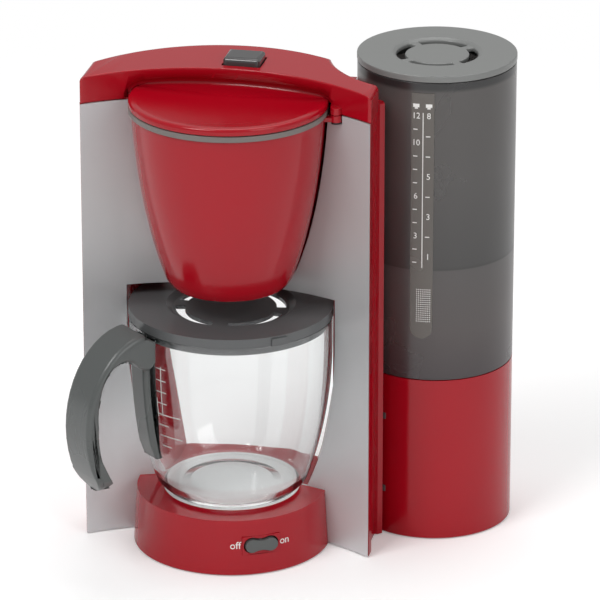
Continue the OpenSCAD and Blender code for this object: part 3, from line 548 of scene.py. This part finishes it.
def swept(name, points, radius):
    """A round bar along a line of points."""
    piece = chain(name, points)
    bpy.ops.object.mode_set(mode="OBJECT")
    bpy.ops.object.convert(target="CURVE")
    line = bpy.context.object.data
    line.bevel_depth = radius
    line.bevel_resolution = 6
    line.use_fill_caps = True
    bpy.ops.object.convert(target="MESH")
    piece = bpy.context.object
    piece.name = piece.data.name = name
    return piece


def outward(azimuth):
    """Turns a flat shape to stand upright and face out at this angle about Z, from -Y towards +X."""
    a = math.radians(azimuth)
    out = Vector((math.sin(a), -math.cos(a), 0))
    right = Vector((math.cos(a), math.sin(a), 0))
    return Matrix((right, Vector((0, 0, 1)), out)).transposed().to_4x4(), out


def on_surface(piece, carrier, thickness):
    """Lays a flat shape on its carrier and gives it a little thickness."""
    apply_modifier(piece, "SHRINKWRAP", target=carrier, wrap_method="NEAREST_SURFACEPOINT",
                   wrap_mode="OUTSIDE_SURFACE", offset=0.02 * MM)
    apply_modifier(piece, "SOLIDIFY", thickness=thickness, offset=1.0)
    settle(piece)


def upright(name, centre, azimuth, radius, z, width, height, cuts=6):
    """A flat upright rectangle that stands just off a round wall."""
    turn, out = outward(azimuth)
    nothing_selected()
    bpy.ops.mesh.primitive_plane_add(size=1)
    piece = bpy.context.object
    piece.name = piece.data.name = name
    piece.scale = (width, height, 1)
    bpy.ops.object.transform_apply(location=False, rotation=False, scale=True)
    bpy.ops.object.mode_set(mode="EDIT")
    bpy.ops.mesh.select_all(action="SELECT")
    bpy.ops.mesh.subdivide(number_cuts=cuts)
    bpy.ops.object.mode_set(mode="OBJECT")
    place = Vector((centre[0], centre[1], z)) + out * radius
    piece.matrix_world = Matrix.Translation(place) @ turn
    only(piece)
    bpy.ops.object.transform_apply(location=True, rotation=True, scale=True)
    return piece


def words(name, text, centre, azimuth, radius, z, size):
    """Flat lettering that stands just off a round wall."""
    turn, out = outward(azimuth)
    nothing_selected()
    bpy.ops.object.text_add()
    piece = bpy.context.object
    piece.name = name
    piece.data.body = text
    piece.data.size = size
    piece.data.align_x = "CENTER"
    piece.data.align_y = "CENTER"
    piece.data.resolution_u = 3
    bpy.ops.object.convert(target="MESH")
    piece = bpy.context.object
    place = Vector((centre[0], centre[1], z)) + out * radius
    piece.matrix_world = Matrix.Translation(place) @ turn
    only(piece)
    bpy.ops.object.transform_apply(location=True, rotation=True, scale=True)
    return piece


def as_one(name, pieces):
    """Joins like pieces into one mesh."""
    only(pieces[0])
    for other in pieces[1:]:
        other.select_set(True)
    bpy.ops.object.join()
    piece = bpy.context.object
    piece.name = piece.data.name = name
    return piece


# ------------------------------------------------------------------ curves of the round pieces
JUG_LOW, JUG_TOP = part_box("jug_body")[0].z, 117.2 * MM
JUG_R = 48.7 * MM
JUG_WALL = 1.8 * MM
CUP_Y = -3 * MM
FRONT_R = 118 * MM
FRONT_Y = 10 * MM - FRONT_R
HALF_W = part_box("front_panel")[1].x + 0.4 * MM
HOOD_LOW, HOOD_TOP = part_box("hood")[0].z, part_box("hood")[1].z
RING_R = (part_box("cup_ring")[1].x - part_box("cup_ring")[0].x) / 2
RING_LOW, RING_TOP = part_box("cup_ring")[0].z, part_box("cup_ring")[1].z
LIP_Z = HOOD_LOW + 6.6 * MM
BUTTON = (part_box("button")[0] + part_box("button")[1]) / 2
HINGE = (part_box("hinge_pin")[0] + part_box("hinge_pin")[1]) / 2
CUP_LOW, CUP_TOP, LUG_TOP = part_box("filter_cup")[0].z, RING_LOW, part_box("filter_cup")[1].z
CUP_R, CUP_LOW_R, OUTLET_R = 46 * MM, 28.7 * MM, 4 * MM
LUG_H, LUG_R, LUG_BORE = 3.2 * MM, 2.6 * MM, 1.55 * MM
TANK = Vector(((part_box("tank_body")[0].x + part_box("tank_body")[1].x) / 2,
               (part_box("tank_body")[0].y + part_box("tank_body")[1].y) / 2))
TANK_R = (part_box("tank_body")[1].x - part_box("tank_body")[0].x) / 2
HANDLE_AZ = 180 + 47.4
GRIP_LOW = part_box("handle_outer")[0].z


def jug_radius(z):
    """Outer radius of the jug at a height."""
    shoulder = JUG_LOW + 75.5 * MM
    return JUG_R if z > shoulder else JUG_R * math.sqrt(1 - ((shoulder - z) / (107 * MM)) ** 2)


def lip_height(r):
    """Height of the hood's lip at a distance from the filter's axis."""
    reach = RING_R + 1.2 * MM
    profile = ((0, LIP_Z), (reach - 18 * MM, LIP_Z), (reach - 6.5 * MM, LIP_Z - 0.4 * MM),
               (reach - 2.5 * MM, LIP_Z - 1.4 * MM), (reach, LIP_Z - 3.4 * MM))
    for (r0, z0), (r1, z1) in zip(profile, profile[1:]):
        if r0 <= r <= r1:
            return z0 + (z1 - z0) * (r - r0) / (r1 - r0)
    return profile[-1][1]


def cup_radius(z):
    """Outer radius of the filter cup at a height."""
    rise = 28 * MM
    span = CUP_TOP + rise - CUP_LOW
    s = CUP_LOW_R / CUP_R
    k = (1 - s * s) / (1 - s * s * (rise / span) ** 2)
    return CUP_R * math.sqrt((1 - k * ((CUP_TOP + rise - z) / span) ** 2) / (1 - k * (rise / span) ** 2))


# ------------------------------------------------------------------ operators
class MAKER_OT_stage(bpy.types.Operator):
    """Camera, soft studio lights, a white floor and a white surround"""

    bl_idname = "maker.stage"
    bl_label = "Studio"

    def execute(self, context):
        scene = context.scene
        azimuth, tilt, distance = math.radians(11.9), math.radians(21.3), 2.381
        target = Vector((0.0337, 0.0, 0.1258))
        level = Vector((math.sin(azimuth), -math.cos(azimuth), 0)) * math.cos(tilt)
        back = level + Vector((0, 0, math.sin(tilt)))
        nothing_selected()
        bpy.ops.object.camera_add(location=target + back * distance)
        camera = bpy.context.object
        camera.name = "studio_camera"
        camera.rotation_euler = back.to_track_quat("Z", "Y").to_euler()
        camera.data.lens = 300
        camera.data.sensor_width = 36
        camera.data.clip_end = 20
        scene.camera = camera

        nothing_selected()
        bpy.ops.mesh.primitive_plane_add(size=6, location=(0, 0, 0))
        floor = bpy.context.object
        floor.name = "studio_floor"
        bpy.ops.object.transform_apply(location=True, rotation=True, scale=True)
        floor.data.materials.append(self.floor_finish())

        for name, place, width, height, power in (
                ("key_light", (-0.7, -1.2, 1.8), 0.9, 0.9, 19.0),
                ("fill_light", (1.3, -1.0, 0.9), 0.8, 1.1, 6.5),
                ("top_light", (0.1, 0.5, 1.8), 1.2, 1.2, 11.0)):
            aim = Vector((0.03, 0, 0.12)) - Vector(place)
            bpy.ops.object.light_add(type="AREA", location=place)
            lamp = bpy.context.object
            lamp.name = name
            lamp.rotation_euler = aim.to_track_quat("-Z", "Y").to_euler()
            lamp.data.shape = "RECTANGLE"
            lamp.data.size, lamp.data.size_y = width, height
            lamp.data.energy = power

        world = bpy.data.worlds.new("White surround")
        scene.world = world
        world.use_nodes = True
        nodes, link = world.node_tree.nodes, world.node_tree.links.new
        ambient = nodes["Background"]
        ambient.inputs["Color"].default_value = (1, 1, 1, 1)
        ambient.inputs["Strength"].default_value = 0.45
        seen = nodes.new("ShaderNodeBackground")
        seen.inputs["Color"].default_value = (1, 1, 1, 1)
        seen.inputs["Strength"].default_value = 1.0
        path = nodes.new("ShaderNodeLightPath")
        either = nodes.new("ShaderNodeMath")
        either.operation = "MAXIMUM"
        mixed = nodes.new("ShaderNodeMixShader")
        link(path.outputs["Is Camera Ray"], either.inputs[0])
        link(path.outputs["Is Transmission Ray"], either.inputs[1])
        link(either.outputs[0], mixed.inputs["Fac"])
        link(ambient.outputs[0], mixed.inputs[1])
        link(seen.outputs[0], mixed.inputs[2])
        link(mixed.outputs[0], nodes["World Output"].inputs["Surface"])
        scene.view_settings.view_transform = "Standard"
        return {"FINISHED"}

    def floor_finish(self):
        """Matt white paper that keeps the shadow near the maker and is plain white far away."""
        material = bpy.data.materials.new("Studio paper")
        material.use_nodes = True
        shader = material.node_tree.nodes["Principled BSDF"]
        shader.inputs["Base Color"].default_value = (0.93, 0.93, 0.93, 1)
        shader.inputs["Roughness"].default_value = 0.9
        shader.inputs["Specular IOR Level"].default_value = 0.1
        nodes, link = material.node_tree.nodes, material.node_tree.links.new
        lifted = nodes.new("ShaderNodeEmission")
        path = nodes.new("ShaderNodeLightPath")
        amount = nodes.new("ShaderNodeMath")
        amount.operation = "MULTIPLY"
        amount.inputs[1].default_value = 0.16
        added = nodes.new("ShaderNodeAddShader")
        where = nodes.new("ShaderNodeTexCoord")
        away = nodes.new("ShaderNodeVectorMath")
        away.operation = "LENGTH"
        faded = nodes.new("ShaderNodeMapRange")
        faded.interpolation_type = "SMOOTHSTEP"
        faded.inputs["From Min"].default_value = 0.3
        faded.inputs["From Max"].default_value = 0.9
        seen = nodes.new("ShaderNodeMath")
        seen.operation = "MULTIPLY"
        white = nodes.new("ShaderNodeEmission")
        mixed = nodes.new("ShaderNodeMixShader")
        link(path.outputs["Is Camera Ray"], amount.inputs[0])
        link(amount.outputs[0], lifted.inputs["Strength"])
        link(shader.outputs[0], added.inputs[0])
        link(lifted.outputs[0], added.inputs[1])
        link(where.outputs["Object"], away.inputs[0])
        link(away.outputs["Value"], faded.inputs["Value"])
        link(faded.outputs["Result"], seen.inputs[0])
        link(path.outputs["Is Camera Ray"], seen.inputs[1])
        link(seen.outputs[0], mixed.inputs["Fac"])
        link(added.outputs[0], mixed.inputs[1])
        link(white.outputs[0], mixed.inputs[2])
        link(mixed.outputs[0], nodes["Material Output"].inputs["Surface"])
        return material


class MAKER_OT_base(bpy.types.Operator):
    """Round base with its warming plate, rocker switch and printed words"""

    bl_idname = "maker.base"
    bl_label = "Round base"

    def execute(self, context):
        s = sizes()
        shell = rounded_copy("drum_shell", s.shell_round)
        rounded_copy("warming_plate", s.trim_round)
        rounded_copy("switch_bezel", 0.2 * MM, finish="red_gloss")
        rounded_copy("switch_rocker", 0.7 * MM, 4, angle=40)
        marks = []
        for name, text, azimuth in (("word_off", "off", 14.5), ("word_on", "on", 45.0)):
            label = words(name, text, (0, 0), azimuth, 48.5 * MM, 15.5 * MM, 5.2 * MM)
            on_surface(label, shell, s.mark_t)
            marks.append(label)
        hand_over(as_one("switch_words", marks), "drum_shell", "marks", replaces=False)
        return {"FINISHED"}


class MAKER_OT_tower(bpy.types.Operator):
    """Concave tower with its silver panel and the bar towards the tank"""

    bl_idname = "maker.tower"
    bl_label = "Tower"

    def execute(self, context):
        s = sizes()
        rounded_copy("front_panel", s.panel_round, 2)
        rounded_copy("tower_front", s.shell_round)
        rounded_copy("tower_back", s.shell_round)
        rounded_copy("tank_cradle", s.shell_round)
        return {"FINISHED"}


class MAKER_OT_hood(bpy.types.Operator):
    """Crowned hood with its push button"""

    bl_idname = "maker.hood"
    bl_label = "Hood"

    def execute(self, context):
        s = sizes()
        hood = rounded_copy("hood", s.hood_round, 5, share=self.share)
        join_shapes(hood, swept("lip_cove", self.lip_line(), 2.5 * MM), "DIFFERENCE")
        settle(hood)
        rounded_copy("button", 0.9 * MM, 4, "button_grey", angle=40)
        return {"FINISHED"}

    def share(self, p):
        """How much of the edge radius an edge of the hood gets."""
        off_front = math.hypot(p.x, p.y - FRONT_Y) - FRONT_R
        if abs(p.x - BUTTON.x) < 12 * MM and abs(p.y - BUTTON.y) < 10 * MM:
            return 0.08
        if p.z > HOOD_TOP - p.x ** 2 / 3.27 - 0.9 * MM:
            return 0.22 if off_front < 0.7 * MM else 1.0
        outer_end = abs(p.x) > HALF_W - 1.2 * MM and p.z > HOOD_LOW + 3 * MM
        return 0.8 if outer_end else 0.06

    def lip_line(self):
        """The lip's lower front edge over the filter lid, from left to right."""
        reach = RING_R + 1.2 * MM
        line = []
        n = 44
        for i in range(n + 1):
            x = 48.35 * MM * (2 * i / n - 1)
            y = FRONT_Y + math.sqrt(FRONT_R ** 2 - x * x)
            r = min(reach, math.hypot(x, y - CUP_Y))
            line.append((x, y, lip_height(r)))
        left_x, left_y, left_z = line[0]
        return [(left_x, left_y, HOOD_LOW - 4 * MM), (left_x, left_y, (left_z + HOOD_LOW) / 2)] + line


class MAKER_OT_filter(bpy.types.Operator):
    """Swing-out filter cup with its ring and hinge, and the fixed cover over it"""

    bl_idname = "maker.filter"
    bl_label = "Filter cup"

    def execute(self, context):
        wall = 2 * MM
        n = 40
        heights = [CUP_LOW + (CUP_TOP - CUP_LOW) * i / n for i in range(2, n + 1)]
        outer = [(cup_radius(z), z, 0) for z in heights]
        outer[-1] = (*outer[-1][:2], 0.5 * MM)
        inner = [(cup_radius(z) - wall, z, 0) for z in reversed(heights[1:])]
        inner[0] = (inner[0][0], inner[0][1], 0.5 * MM)
        path = ([(OUTLET_R, CUP_LOW + wall, 0), (OUTLET_R, CUP_LOW, 0.5 * MM),
                 (CUP_LOW_R - 1.2 * MM, CUP_LOW, 3.2 * MM)]
                + outer + inner
                + [(CUP_LOW_R - wall - 1 * MM, CUP_LOW + wall, 2 * MM), (OUTLET_R, CUP_LOW + wall, 0)])
        cup = turned("filter_cup_moulded", fillet(path), (0, CUP_Y))
        low, arm = LUG_TOP - LUG_H, 2 * MM
        join_shapes(cup, block("hinge_arm", (CUP_R - 1.5 * MM, CUP_Y - arm, low),
                               (HINGE.x, CUP_Y + arm, CUP_TOP)))
        join_shapes(cup, rod("hinge_lug", HINGE.x, HINGE.y, low, LUG_TOP, LUG_R))
        join_shapes(cup, rod("hinge_bore", HINGE.x, HINGE.y, low - MM, LUG_TOP + MM, LUG_BORE), "DIFFERENCE")
        settle(cup)
        hand_over(cup, "filter_cup")
        self.ring()
        self.lid()
        return {"FINISHED"}

    def ring(self):
        """Grey ring with rounded rims."""
        inner, rim = RING_R - 2.3 * MM, 0.55 * MM
        path = [(inner, RING_LOW, 0), (RING_R, RING_LOW, rim), (RING_R, RING_TOP, rim),
                (inner, RING_TOP, rim), (inner, RING_LOW, 0)]
        hand_over(turned("cup_ring_moulded", fillet(path), (0, CUP_Y)), "cup_ring")

    def lid(self):
        """Red cover with a rounded rim and a shallow bowl whose back rises to the hood's lip."""
        low = RING_TOP + 0.4 * MM
        top, depth, bowl_r = low + 3.4 * MM, 2.5 * MM, RING_R - 3.2 * MM
        ball = (bowl_r ** 2 + depth ** 2) / (2 * depth)
        n = 24
        bowl = [(r, top - depth + ball - math.sqrt(ball ** 2 - r * r), 0)
                for r in (bowl_r * (1 - i / n) for i in range(2, n + 1))]
        path = [(0, low, 0), (RING_R, low, 0.5 * MM), (RING_R, top, 2.4 * MM),
                (bowl_r, top, 2.0 * MM)] + bowl
        lid = turned("cup_lid_moulded", fillet(path), (0, CUP_Y))
        wall, wide, high = FRONT_R + 3 * MM, 11 * MM, LIP_Z - low - 0.8 * MM
        low += 0.1 * MM
        cove = [(wall - wide * (1 - math.cos(t)), LIP_Z - high * math.sin(t))
                for t in (math.pi / 2 * i / 16 for i in range(17))]
        behind = wall + 1.6 * MM
        rise = turned("lid_rise", [(wall - wide, low), (behind, low), (behind, LIP_Z)] + cove
                      + [(wall - wide, low)], (0, FRONT_Y), 360)
        edge = [(r, lip_height(r) - 0.15 * MM)
                for r in ((RING_R - 2 * MM) * (1 - i / n) for i in range(n + 1))]
        bounds = turned("rise_bounds", [(0, low - MM), (edge[0][0], low - MM)] + edge, (0, CUP_Y))
        join_shapes(rise, bounds, "INTERSECT")
        join_shapes(lid, rise)
        settle(lid, 40)
        hand_over(lid, "cup_lid")


class MAKER_OT_jug(bpy.types.Operator):
    """Clear jug with its lid, handle and level marks"""

    bl_idname = "maker.jug"
    bl_label = "Jug"

    def execute(self, context):
        s = sizes()
        n = 36
        low = JUG_LOW
        heights = [low + (JUG_TOP - low) * i / n for i in range(2, n + 1)]
        outer = [(jug_radius(z), z, 0) for z in heights]
        outer[-1] = (*outer[-1][:2], 0.6 * MM)
        floor_z = low + 3.2 * MM
        inner = [(jug_radius(z) - JUG_WALL, z, 0) for z in reversed(heights) if z > floor_z + 2.5 * MM]
        inner[0] = (inner[0][0], inner[0][1], 0.6 * MM)
        path = ([(0, low + 1.0 * MM, 0), (20 * MM, low + 0.6 * MM, 2 * MM), (24 * MM, low, 1 * MM),
                 (jug_radius(low) - 2.6 * MM, low, 2.6 * MM)] + outer + inner
                + [(jug_radius(floor_z) - JUG_WALL - 1.5 * MM, floor_z, 2.5 * MM),
                   (0, floor_z + 0.4 * MM, 0)])
        jug = turned("jug_moulded", fillet(path))
        flange = block("jug_flange", (JUG_R - 1.2 * MM, -7 * MM, JUG_TOP - 5 * MM),
                       (63.5 * MM, 7 * MM, JUG_TOP - 1.4 * MM))
        flange.rotation_euler.z = math.radians(HANDLE_AZ)
        settle(flange)
        join_shapes(jug, flange)
        along = Vector((math.cos(math.radians(HANDLE_AZ)), math.sin(math.radians(HANDLE_AZ)))) * 59 * MM
        hole = rod("flange_hole", along.x, along.y, JUG_TOP - 8 * MM, JUG_TOP + MM, 1.4 * MM)
        join_shapes(jug, hole, "DIFFERENCE")
        settle(jug)
        self.level_marks(jug, s)
        hand_over(jug, "jug_body")
        rounded_copy("jug_lid", 0.6 * MM, 3)
        rounded_copy("handle_outer", s.handle_round, 6, angle=40, share=self.outer_share)
        rounded_copy("handle_inner", s.handle_round, 6, angle=40, share=self.inner_share)
        return {"FINISHED"}

    def level_marks(self, jug, s):
        """Thin white level lines beside the handle."""
        marks = [upright("level_line", (0, 0), azimuth, JUG_R + MM, z, s.mark_w, height)
                 for azimuth, z, height in ((-30.7, 90 * MM, 26 * MM), (-34.5, 81.3 * MM, 10 * MM))]
        for i in range(8):
            left, right = -34.5, (-18 if i in (4, 6) else -27)
            marks.append(upright("level_tick", (0, 0), (left + right) / 2, JUG_R + MM, (102 - 6 * i) * MM,
                                 math.radians(right - left) * JUG_R, s.mark_w, 12))
        lines = as_one("jug_levels", marks)
        on_surface(lines, jug, s.mark_t)
        hand_over(lines, "jug_body", "faint_marks", replaces=False)

    def hook_ratio(self, p):
        """1 on the outside of the handle's hook, less inside it."""
        turn = math.radians(HANDLE_AZ)
        u = p.x * math.cos(turn) + p.y * math.sin(turn)
        return ((u - 55 * MM) / (34.3 * MM)) ** 2 + ((p.z - 76 * MM) / (45.2 * MM)) ** 2

    def outer_share(self, p):
        """Full rounding along the outside of the grip, little at the seam."""
        tip = min(1.0, max(0.0, (p.z - GRIP_LOW - 11 * MM) / (14 * MM)))
        return 0.3 + 0.7 * tip if self.hook_ratio(p) > 0.93 else 0.1

    def inner_share(self, p):
        """Full rounding round the finger gap, little at the seam."""
        if p.z < GRIP_LOW + 12 * MM:
            return 0.1
        return 0.1 if self.hook_ratio(p) > 0.80 else 0.75


class MAKER_OT_tank(bpy.types.Operator):
    """Smoky water tank with its lid, red base and scale"""

    bl_idname = "maker.tank"
    bl_label = "Water tank"

    def execute(self, context):
        s = sizes()
        rounded_copy("tank_base", s.shell_round)
        rounded_copy("tank_lid", 0.5 * MM, 3, "tank_lid")
        rounded_copy("tank_body", 0.4 * MM)
        self.scale_marks(s)
        return {"FINISHED"}

    def scale_marks(self, s):
        """White scale with numbers, a cup sign over each column and a field of dots."""
        off, t = TANK_R + 2 * MM, s.mark_t
        top, pitch_left, pitch_right = 217.3 * MM, 6.7 * MM, 10.1 * MM
        marks = [upright("scale_line", TANK, 0.8, off, 180 * MM, s.mark_w, 78 * MM)]
        left, right = {0: "12", 2: "10", 6: "6", 9: "3"}, {0: "8", 3: "5", 5: "3", 7: "1"}
        for column, numbers, count, pitch in ((-4.2, left, 12, pitch_left), (4.9, right, 8, pitch_right)):
            for i in range(count):
                z = top - pitch * i
                if i in numbers:
                    marks.append(words("scale_number", numbers[i], TANK, column, off, z, 4.2 * MM))
                else:
                    marks.append(upright("scale_tick", TANK, column - 0.5, off, z, 2.2 * MM, s.mark_w))
            marks.append(upright("cup_sign", TANK, column, off, top + 5.2 * MM, 3.2 * MM, 1.7 * MM))
            marks.append(upright("cup_sign_foot", TANK, column, off, top + 3.9 * MM, 1.6 * MM, 0.7 * MM))
        marks.append(self.dots())
        scale = as_one("tank_scale", marks)
        on_surface(scale, frame["nodes"]["gauge_strip"], t)
        hand_over(scale, "tank_body", "marks", replaces=False)

    def dots(self):
        """Field of small dots low on the strip."""
        nothing_selected()
        bpy.ops.mesh.primitive_circle_add(vertices=8, radius=0.27 * MM, fill_type="NGON")
        piece = bpy.context.object
        piece.name = "dots"
        for count, step in ((8, (0.95 * MM, 0, 0)), (16, (0, 1.08 * MM, 0))):
            apply_modifier(piece, "ARRAY", count=count, use_relative_offset=False, use_constant_offset=True,
                           constant_offset_displace=step)
        turn, out = outward(2.0)
        place = Vector((*TANK, 121.8 * MM)) + out * (TANK_R + 2 * MM)
        centred = Matrix.Translation((-3.5 * 0.95 * MM, -7.5 * 1.08 * MM, 0))
        piece.matrix_world = Matrix.Translation(place) @ turn @ centred
        only(piece)
        bpy.ops.object.transform_apply(location=True, rotation=True, scale=True)
        return piece


class MAKER_OT_rest(bpy.types.Operator):
    """Finishes for the pieces that keep their own shape"""

    bl_idname = "maker.rest"
    bl_label = "Other pieces"

    def execute(self, context):
        for node, piece in frame["nodes"].items():
            dress_with(piece, "dark_pin" if node == "hinge_pin" else SLOT_OF[node])
            only(piece)
            bpy.ops.object.shade_smooth_by_angle(angle=math.radians(35))
        nothing_selected()
        return {"FINISHED"}


OPERATORS = (MAKER_OT_stage, MAKER_OT_rest, MAKER_OT_base, MAKER_OT_tower, MAKER_OT_hood, MAKER_OT_filter,
             MAKER_OT_jug, MAKER_OT_tank)


class MAKER_PT_panel(bpy.types.Panel):
    """Lists the steps and settings of the toy coffee maker"""

    bl_idname = "MAKER_PT_panel"
    bl_label = "Toy coffee maker"
    bl_space_type = "VIEW_3D"
    bl_region_type = "UI"
    bl_category = "Coffee maker"

    def draw(self, context):
        for operator in OPERATORS:
            self.layout.operator(operator.bl_idname)
        for group in (context.scene.maker_colours, context.scene.maker_sizes):
            for name in group.__annotations__:
                self.layout.prop(group, name)


CLASSES = (MAKER_PG_colours, MAKER_PG_sizes, *OPERATORS, MAKER_PT_panel)


def register():
    for cls in CLASSES:
        bpy.utils.register_class(cls)
    bpy.types.Scene.maker_colours = bpy.props.PointerProperty(type=MAKER_PG_colours)
    bpy.types.Scene.maker_sizes = bpy.props.PointerProperty(type=MAKER_PG_sizes)


def unregister():
    del bpy.types.Scene.maker_sizes
    del bpy.types.Scene.maker_colours
    for cls in reversed(CLASSES):
        bpy.utils.unregister_class(cls)


def main():
    """Registers the add-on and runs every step."""
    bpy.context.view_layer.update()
    register()
    for operator in OPERATORS:
        step = getattr(bpy.ops.maker, operator.bl_idname.split(".")[1])
        if step() != {"FINISHED"}:
            raise RuntimeError(operator.bl_idname + " did not finish")


if __name__ == "__main__":
    main()
